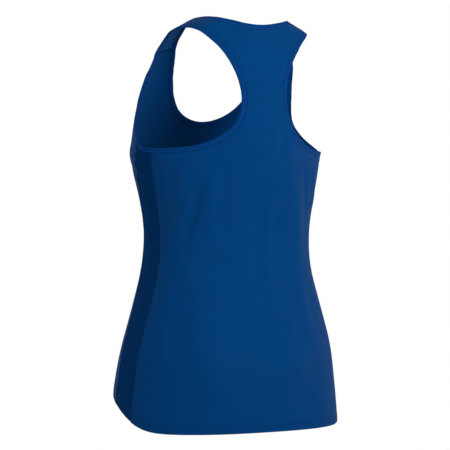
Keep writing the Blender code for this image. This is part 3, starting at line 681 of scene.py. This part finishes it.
# %% [markdown]
# ## How near a seam is
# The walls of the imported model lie 0.3 mm apart where they would be sewn. A search tree of each
# wall tells any point how far its piece's nearest neighbour is, and which one that is. Seams
# pucker a little, because the thread is tighter than the cloth: a noise that fades away from
# the seam does that, and a much broader one keeps the cloth from lying perfectly smooth.

# %% Nearest neighbours and puckers
SEAM_GAP = 0.3 * MM
SEARCH = 30 * MM
SEAM_ROLL, ROLL_REACH = 0.35 * MM, 2.2 * MM      # how deep and how wide an edge turns in
PUCKER, PUCKER_REACH, PUCKERS_PER_METRE = 0.55 * MM, 6.0 * MM, 95.0
HEM_PUCKER = 0.8         # the puckers at the hem's stitches, beside those at a seam
UNEVEN, UNEVEN_PER_METRE = 0.60 * MM, 17.0

TREES = {}
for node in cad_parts:
    wall = loose_copy(node)
    TREES[node] = BVHTree.FromBMesh(wall)
    wall.free()


def nearest_neighbour(node, place):
    """How far the next piece is, and its node."""
    found = [(TREES[other].find_nearest(place, SEARCH)[3], other)
             for other in TREES if other != node]
    return min(((gap, other) for gap, other in found if gap is not None),
               default=(SEARCH, None), key=lambda pair: pair[0])


def beyond_seam(node, place):
    """How far a place is from the piece's nearest seam."""
    return max(nearest_neighbour(node, place)[0] - SEAM_GAP, 0.0)


def rolled_in(from_seam):
    """How deep an edge turns in, this far from its seam."""
    return SEAM_ROLL * (1.0 - smooth(from_seam / ROLL_REACH))


def settle(place, from_seam, above_hem):
    """Where a point of the cloth comes to lie, with its creases and puckers."""
    near = math.exp(-(from_seam / PUCKER_REACH) ** 2)
    off_hem_row = (above_hem - HEM_ROWS_AT[0]) / PUCKER_REACH
    near = max(near, HEM_PUCKER * math.exp(-off_hem_row ** 2))
    raised = raised_at(place)
    raised += UNEVEN * noise.noise(place * UNEVEN_PER_METRE)
    raised += PUCKER * near * noise.noise(place * PUCKERS_PER_METRE)
    return place + outward_at(place) * raised


print("search trees:", len(TREES))

# %% [markdown]
# ## Turning up the hem
# A hem is the cloth itself, folded up inside and held by two rows of stitches. So the skin is
# carried on: its lowest edge is extruded round the fold and then back up behind the skin, ring
# by ring. Each ring must follow the skin in front of it, so every point of the edge first walks
# straight up its own line of the grid and remembers the places it passes.

# %% The hem's fold
HEM_TURNED_UP = 14.5 * MM
FOLD_RINGS = [
    # how far up the skin, how far behind it
    (-0.35 * MM, 0.45 * MM),
    (-0.40 * MM, 1.15 * MM),
    (0.25 * MM, 1.65 * MM),
    (4.0 * MM, 1.75 * MM),
    (9.0 * MM, 1.75 * MM),
    (HEM_TURNED_UP, 1.70 * MM),
]
OPEN_EDGE = 1.2 * MM     # an edge further than this from any neighbour is a hem
HEM_BELOW = -0.45        # no part of the hem is higher than this
FAR_FROM_HEM = 1.0       # stands for a place that isn't near the hem
WALK_STEPS = 14          # enough to pass the top of the turned-up cloth
MOST_SLANT = 0.8         # at most this, the squared cosine between the hem and a line up from it
PARTS_OF_AN_EDGE = 6     # the places along the hem's edge, for finding the nearest


def hem_edges(work, node):
    """The open edges low on the piece that no neighbour is sewn to."""
    found = []
    for edge in work.edges:
        middle = (edge.verts[0].co + edge.verts[1].co) / 2
        low_edge = edge.is_boundary and middle.z < HEM_BELOW
        if low_edge and nearest_neighbour(node, middle)[0] > OPEN_EDGE:
            found.append(edge)
    return found


def straight_on(vert, edge):
    """The edge that leaves a grid's vertex opposite the one that came in."""
    sides = set(edge.link_faces)
    return next((other for other in vert.link_edges
                 if other is not edge and not sides & set(other.link_faces)), None)


def walk_up(vert, edges):
    """The places and normals on a straight line of the grid, up from a vertex of the hem, and
    how much longer that line is than the straight way up from a slanting hem."""
    edge = next(other for other in vert.link_edges if other not in edges)
    line = [(vert.co.copy(), vert.normal.copy())]
    hem_ends = [other.other_vert(vert).co for other in vert.link_edges if other in edges]
    along = (hem_ends[0] - (hem_ends[1] if len(hem_ends) > 1 else vert.co)).normalized()
    rise = (edge.other_vert(vert).co - vert.co).normalized()
    longer = 1.0 / math.sqrt(1.0 - min(rise.dot(along) ** 2, MOST_SLANT))
    for _ in range(WALK_STEPS):
        vert = edge.other_vert(vert)
        line.append((vert.co.copy(), vert.normal.copy()))
        edge = straight_on(vert, edge)
        if edge is None:
            break
    return line, longer


def on_line(walk, height):
    """The place and normal on such a line, a height above the hem."""
    line, longer = walk
    distance = height * longer
    if distance <= 0.0:
        down = (line[0][0] - line[1][0]).normalized()
        return line[0][0] + down * -distance, line[0][1]
    for (low, low_normal), (high, high_normal) in zip(line, line[1:]):
        step = (high - low).length
        if distance <= step:
            return low.lerp(high, distance / step), low_normal.lerp(high_normal, distance / step)
        distance -= step
    return line[-1]


def run_on(work, edges):
    """Extrudes edges where they are. Gives back the new points, edges and faces."""
    made = bmesh.ops.extrude_edge_only(work, edges=edges)["geom"]
    verts = {part for part in made if isinstance(part, bmesh.types.BMVert)}
    new_edges = [part for part in made if isinstance(part, bmesh.types.BMEdge)
                 and part.verts[0] in verts and part.verts[1] in verts]
    return verts, new_edges, [part for part in made if isinstance(part, bmesh.types.BMFace)]


def passed_on(verts, known):
    """What is known of the old points, for the new points that were drawn out of them."""
    passed = {}
    for vert in verts:
        ends = [edge.other_vert(vert) for edge in vert.link_edges]
        passed[vert] = known[next(end for end in ends if end in known)]
    return passed


def turn_up(work, node):
    """Folds the hem up inside. Gives back its lines and edge, and the mark of the folded faces."""
    mark = work.faces.layers.int.new("turned up")
    ring = hem_edges(work, node)
    edge_set = set(ring)
    lines = {vert: walk_up(vert, edge_set) for edge in ring for vert in edge.verts}
    first_lines = list(lines.values())
    edge_points = [edge.verts[0].co.lerp(edge.verts[1].co, part / PARTS_OF_AN_EDGE)
                   for edge in ring for part in range(PARTS_OF_AN_EDGE + 1)]
    for up, behind in FOLD_RINGS:
        verts, ring, faces = run_on(work, ring)
        for face in faces:
            face[mark] = 1
        lines = passed_on(verts, lines)
        for vert in verts:
            place, normal = on_line(lines[vert], up)
            vert.co = place - normal * behind
    return first_lines, edge_points, mark


print("hem: turned up", HEM_TURNED_UP / MM, "mm in", len(FOLD_RINGS), "rings")

# %% [markdown]
# ## Tucking edges in
# No cut edge shows on a finished garment. Where a panel meets a binding its edge runs on inside
# the folded strip, and where two panels meet, one edge runs on behind the other as the seam
# allowance. A narrow ring is first inset along the edges, so that there is something to turn
# in. An inset knows nothing of the faces it runs into, so its ring is made hair-thin and then
# each of its corners slides along the grid, never more than half way into the next face. The
# outermost edge is then extruded under the neighbour.

# %% Tucked edges
EDGE_RINGS = (1.5 * MM, 0.5 * MM)      # added one after the other, so the narrow one lies outside
HAIR = 0.02 * MM
MOST_OF_A_FACE = 0.45
INTO_BINDING = [(0.4 * MM, 0.10 * MM), (3.2 * MM, 0.15 * MM)]     # outward, deeper
BEHIND_PANEL = [(0.25 * MM, 0.90 * MM), (4.5 * MM, 1.00 * MM)]
GOES_BEHIND = {
    "side_panel_left": ("back_panel", "front_panel"),
    "side_panel_right": ("back_panel", "front_panel"),
    "front_panel": ("back_panel",),
}


def edge_ring(work, width):
    """Adds a ring of faces along every open edge, as wide as the faces there allow."""
    ring = set(bmesh.ops.inset_region(work, faces=work.faces, thickness=HAIR,
                                      use_boundary=True)["faces"])
    places = {}
    for outer in [vert for vert in work.verts if vert.is_boundary]:
        for spoke in outer.link_edges:
            if spoke.is_boundary:
                continue
            inner = spoke.other_vert(outer)
            ahead = [edge.other_vert(inner).co for edge in inner.link_edges
                     if not ring & set(edge.link_faces)]
            if not ahead:
                corner = next(face for face in inner.link_faces if face not in ring)
                ahead = [corner.calc_center_median()]
            reach = sum(ahead, Vector()) / len(ahead) - outer.co
            places[inner] = outer.co + reach * min(width / reach.length, MOST_OF_A_FACE)
    for vert, place in places.items():
        vert.co = place


def tuck(work, edges, steps):
    """Runs the edges on, away from their panel and deeper."""
    away = {}
    for vert in {vert for edge in edges for vert in edge.verts}:
        inner = [edge.other_vert(vert).co for edge in vert.link_edges if not edge.is_boundary]
        way = sum((vert.co - co for co in inner), Vector()).normalized()
        away[vert] = (vert.co.copy(), (way - vert.normal * way.dot(vert.normal)).normalized(),
                      vert.normal.copy())
    for out, deeper in steps:
        verts, edges, _ = run_on(work, edges)
        away = passed_on(verts, away)
        for vert in verts:
            place, way, normal = away[vert]
            vert.co = place + way * out - normal * deeper


def tuck_edges(work, node, mark):
    """Tucks the edges that meet a binding or go behind a panel, and counts them."""
    groups = {"binding": [], "panel": []}
    for edge in work.edges:
        if not edge.is_boundary or edge.link_faces[0][mark]:
            continue
        gap, other = nearest_neighbour(node, (edge.verts[0].co + edge.verts[1].co) / 2)
        if other and "band" in other:
            groups["binding"].append(edge)
        elif other in GOES_BEHIND.get(node, ()):
            groups["panel"].append(edge)
    tuck(work, groups["binding"], INTO_BINDING)
    tuck(work, groups["panel"], BEHIND_PANEL)
    return {name: len(edges) for name, edges in groups.items()}


print("seam allowance:", BEHIND_PANEL[-1][0] / MM, "mm")

# %% [markdown]
# ## The unrolled pattern
# Knit has a direction, so each cloth piece gets a UV map named "cloth", in metres: how far
# round the trunk and how high. Over the shoulders, where height hardly changes, the way
# across the strap takes its place. The two numbers that the shade group reads are stored
# beside it, as attributes of the mesh.

# %% Finished meshes
SHOULDER_FROM, SHOULDER_OVER = -0.10, 0.08
ACROSS_STRAP = 0.9       # how much the way across a strap counts on top of the shoulder
FABRIC = 0.8 * MM


def unrolled(place):
    top = smooth((place.z - SHOULDER_FROM) / SHOULDER_OVER)
    return around(turn_of(place)), place.z - ACROSS_STRAP * top * abs(place.x)


def finished(work, name, material, from_seam, above_hem):
    """The bmesh as a shown object, with its pattern and its two attributes."""
    bmesh.ops.recalc_face_normals(work, faces=work.faces)
    outer = max(work.faces, key=lambda face: face.normal.length * abs(
        face.normal.dot(outward_at(face.calc_center_median()))) * face.calc_area())
    if outer.normal.dot(outward_at(outer.calc_center_median())) < 0.0:
        bmesh.ops.reverse_faces(work, faces=work.faces)
    pattern = work.loops.layers.uv.new("cloth")
    for face in work.faces:
        face.smooth = True
        flats = [unrolled(loop.vert.co) for loop in face.loops]
        turns = [flat[0] for flat in flats]
        seam_crossed = max(turns) - min(turns) > WHOLE_TURN / 2
        for loop, (u, v) in zip(face.loops, flats):
            loop[pattern].uv = (u + WHOLE_TURN if seam_crossed and u < 0.0 else u, v)
    mesh = bpy.data.meshes.new(name)
    work.to_mesh(mesh)
    for label, values in (("from_seam", from_seam), ("above_hem", above_hem)):
        stored = mesh.attributes.new(label, "FLOAT", "POINT")
        stored.data.foreach_set("value", values)
    work.free()
    mesh.materials.append(material)
    return put_in_scene(name, mesh)


def sew_panel(node, name, material, inside):
    """A panel: its skin, its hem, its edges, its creases and its thickness."""
    work = subdivided(outer_skin(node), 2, math.pi)
    lines, edge_points, mark = turn_up(work, node)
    for width in EDGE_RINGS:
        edge_ring(work, width)
    work.normal_update()
    hem = kdtree.KDTree(len(edge_points))
    for number, point in enumerate(edge_points):
        hem.insert(point, number)
    hem.balance()
    far = {}
    for vert in work.verts:
        above = hem.find(vert.co)[2] if vert.co.z < HEM_BELOW else FAR_FROM_HEM
        far[vert] = (beyond_seam(node, vert.co), above)
    for vert, (gap, above) in far.items():
        vert.co = settle(vert.co, gap, above) - vert.normal * rolled_in(gap)
    work.normal_update()
    tucked = tuck_edges(work, node, mark)
    work.normal_update()
    values = [far.get(vert, (0.0, FAR_FROM_HEM)) for vert in work.verts]
    piece = finished(work, name, inside,
                     [gap for gap, above in values], [above for gap, above in values])
    piece.data.materials.append(material)
    wall = piece.modifiers.new("thickness", "SOLIDIFY")
    wall.thickness, wall.offset = FABRIC, -1.0
    wall.material_offset = wall.material_offset_rim = 1     # the skin that it adds is the outer one
    print(name, "-", len(piece.data.polygons), "faces, tucked edges:", tucked)
    return piece, lines


print("fabric:", FABRIC / MM, "mm thick")

# %% [markdown]
# ## The panels
# Front, back and two sides. Each is a sheet of cloth, so it says the flat size that it was cut
# to. The figures stretch it a little, as a close-fitting knit is meant to be.

# %% Panels
PANELS = [
    # node, piece, finish, inside, slot, cut (width, length), flat area
    ("back_panel", "back_cloth", royal_knit, royal_inside_painted_sheen, "knit", (0.47, 0.70), 0.200),
    ("front_panel", "front_cloth", royal_knit, royal_knit, "knit", (0.45, 0.58), 0.182),
    ("side_panel_left", "side_cloth_left", navy_mesh, navy_mesh, "side_knit",
     (0.070, 0.435), 0.0235),
    ("side_panel_right", "side_cloth_right", navy_mesh, navy_mesh, "side_knit",
     (0.070, 0.435), 0.0235),
]

pieces, hem_lines = {}, []
for node, name, material, inside, slot, cut, area in PANELS:
    piece, lines = sew_panel(node, name, material, inside)
    hem_lines += [(node, line) for line in lines]
    pieces[name] = piece
    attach(piece, "root")
    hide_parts(node)
print("panels:", ", ".join(pieces))

# %% [markdown]
# ## The bindings
# Neck and armholes are bound with one strip each, folded over the edge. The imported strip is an
# eight-cornered section swept round the opening. A Subdivision Surface rounds its fold, and it
# settles with the same creases and puckers as the cloth that it holds.

# %% Bindings
BINDINGS = [
    ("neck_band", "neck_binding"),
    ("armhole_band_left", "armhole_binding_left"),
    ("armhole_band_right", "armhole_binding_right"),
]
PLUMP = 0.12 * MM        # rounding draws the section in by about this much
LONGEST_LOOP = 2000      # a line that hasn't come back by then never does
FAR_FROM_SEAM = 0.01     # metres, so that a binding isn't shaded as a seam


def closed_loop(vert, edge):
    """The vertices that a line of the grid passes before it comes back."""
    loop = [vert]
    while True:
        vert = edge.other_vert(vert)
        if vert == loop[0] or len(loop) > LONGEST_LOOP:
            return loop
        loop.append(vert)
        edge = straight_on(vert, edge)


def lines_along(work):
    """Every line of the grid that runs round the opening, as places and normals."""
    work.verts.ensure_lookup_table()
    start = work.verts[0]
    ways = [closed_loop(start, edge) for edge in start.link_edges]
    across = min(ways, key=len)
    lines = []
    for vert in across:
        edge = next(other for other in vert.link_edges if other.other_vert(vert) not in across)
        lines.append([(place.co.copy(), place.normal.copy()) for place in closed_loop(vert, edge)])
    return lines


binding_lines = {}
for node, name in BINDINGS:
    work = subdivided(loose_copy(node), 2)
    for vert in work.verts:
        vert.co = settle(vert.co + vert.normal * PLUMP, 0.0, FAR_FROM_HEM)
    work.normal_update()
    binding_lines[name] = lines_along(work)
    count = len(work.verts)
    piece = finished(work, name, binding_knit, [FAR_FROM_SEAM] * count, [FAR_FROM_HEM] * count)
    pieces[name] = piece
    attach(piece, "root")
    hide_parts(node)
    print(name, "-", len(piece.data.polygons), "faces,", len(binding_lines[name]), "lines round it")

# %% [markdown]
# ## Stitches
# A cover seam holds the hem with two rows of stitches, and one row runs along the lower edge of
# each binding. Each stitch is one slim bead of thread, half sunk into the cloth. A row is a
# closed line of places with the cloth's own normals, and beads are set along it at even steps.
# There are over a thousand of them, so a bead is a ball of only a few faces, drawn out long.
# An operator looks through its whole mesh each time, so the ball is made once, and its mesh
# is added again and again, each time moved to the next place.

# %% Rows of stitches
STITCH_STEP, STITCH_LENGTH, THREAD = 3.0 * MM, 2.3 * MM, 0.42 * MM
STITCH_LIFT = 0.06 * MM
ROW_ABOVE_SEAM = 1.5 * MM     # from a binding's lower edge
LEAST_TURN = 0.35             # degrees between two places of the hem, so that none lies back
FACES_OUT = 0.8               # of an outer line's normals, this share points outward


def row_length(row):
    return sum((row[i][0] - row[i - 1][0]).length for i in range(len(row)))


ball_work = bmesh.new()
bmesh.ops.create_uvsphere(ball_work, u_segments=6, v_segments=4, radius=1.0,
                          matrix=Matrix.Rotation(math.pi / 2, 4, "Y"))
for face in ball_work.faces:
    face.smooth = True
ball = bpy.data.meshes.new("ball of thread")
ball_work.to_mesh(ball)
ball_work.free()


def beads(work, row):
    """Sets beads of thread along a closed row of places and normals."""
    count = round(row_length(row) / STITCH_STEP)
    step = row_length(row) / count
    left, made = step / 2, 0
    for (start, normal), (end, end_normal) in zip(row, row[1:] + row[:1]):
        way = end - start
        while left < way.length and made < count:
            share = left / way.length
            up = normal.lerp(end_normal, share).normalized()
            along = way.normalized()
            turned = Matrix((along, up.cross(along).normalized(), up)).transposed().to_4x4()
            sized = Matrix.Diagonal((STITCH_LENGTH / 2, THREAD / 2, THREAD / 2, 1.0))
            spot = start + way * share + up * STITCH_LIFT
            moved = Matrix.Translation(spot) @ turned @ sized
            ball.transform(moved)
            work.from_mesh(ball)
            ball.transform(moved.inverted())
            left += step
            made += 1
        left -= way.length
    return made


def sew_row(name, rows):
    """The rows of stitches as one piece."""
    work = bmesh.new()
    made = sum(beads(work, row) for row in rows)
    mesh = bpy.data.meshes.new(name)
    work.to_mesh(mesh)
    work.free()
    mesh.materials.append(thread)
    piece = put_in_scene(name, mesh)
    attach(piece, "root")
    pieces[name] = piece
    print(name, "-", made, "stitches,", len(mesh.polygons), "faces")


# %% Stitches in the hem
hem_rows = []
for height in HEM_ROWS_AT:
    row = []
    for node, walk in hem_lines:
        place, normal = on_line(walk, height)
        gap = beyond_seam(node, place)
        row.append((settle(place, gap, height) - normal * rolled_in(gap), normal))
    row.sort(key=lambda point: turn_of(point[0]))
    spaced = [row[0]]
    spaced += [after for before, after in zip(row, row[1:])
               if abs(turn_of(after[0]) - turn_of(before[0])) > LEAST_TURN]
    hem_rows.append(spaced)
sew_row("hem_stitches", hem_rows)

# %% Stitches in the bindings
for name, lines in binding_lines.items():
    outer = [line for line in lines
             if sum(normal.dot(outward_at(place)) for place, normal in line) > FACES_OUT * len(line)]
    edge = max(outer, key=row_length)
    row = min(outer, key=lambda line: abs((line[0][0] - edge[0][0]).length - ROW_ABOVE_SEAM))
    print(name, "is", round(row_length(edge), 3), "m round its seam")
    sew_row(name.replace("binding", "stitches"), [row])

# %% [markdown]
# ## Sheets of cloth
# The table of panels gives each its cut size and flat area. Nothing reads them here: this
# cell only counts the panels.

# %% Sheets
print("sheets:", len(PANELS))

# %% [markdown]
# ## The floor
# The floor is a wide pale disc.

# %% Floor
FLOOR_RADIUS, FLOOR_HEIGHT, FLOOR_ROUGHNESS = 30.0, -2.0, 0.9

floor_mesh = bmesh.new()
bmesh.ops.create_circle(floor_mesh, cap_ends=True, segments=64, radius=FLOOR_RADIUS)
bmesh.ops.translate(floor_mesh, verts=floor_mesh.verts, vec=(0.0, 0.0, FLOOR_HEIGHT))
mesh = bpy.data.meshes.new("floor")
floor_mesh.to_mesh(mesh)
floor_mesh.free()
pale = bpy.data.materials.new("pale floor")
pale.use_nodes = True
pale.node_tree.nodes["Principled BSDF"].inputs["Base Color"].default_value = WHITE
pale.node_tree.nodes["Principled BSDF"].inputs["Roughness"].default_value = FLOOR_ROUGHNESS
mesh.materials.append(pale)
floor = put_in_scene("floor", mesh)
print("floor ready")
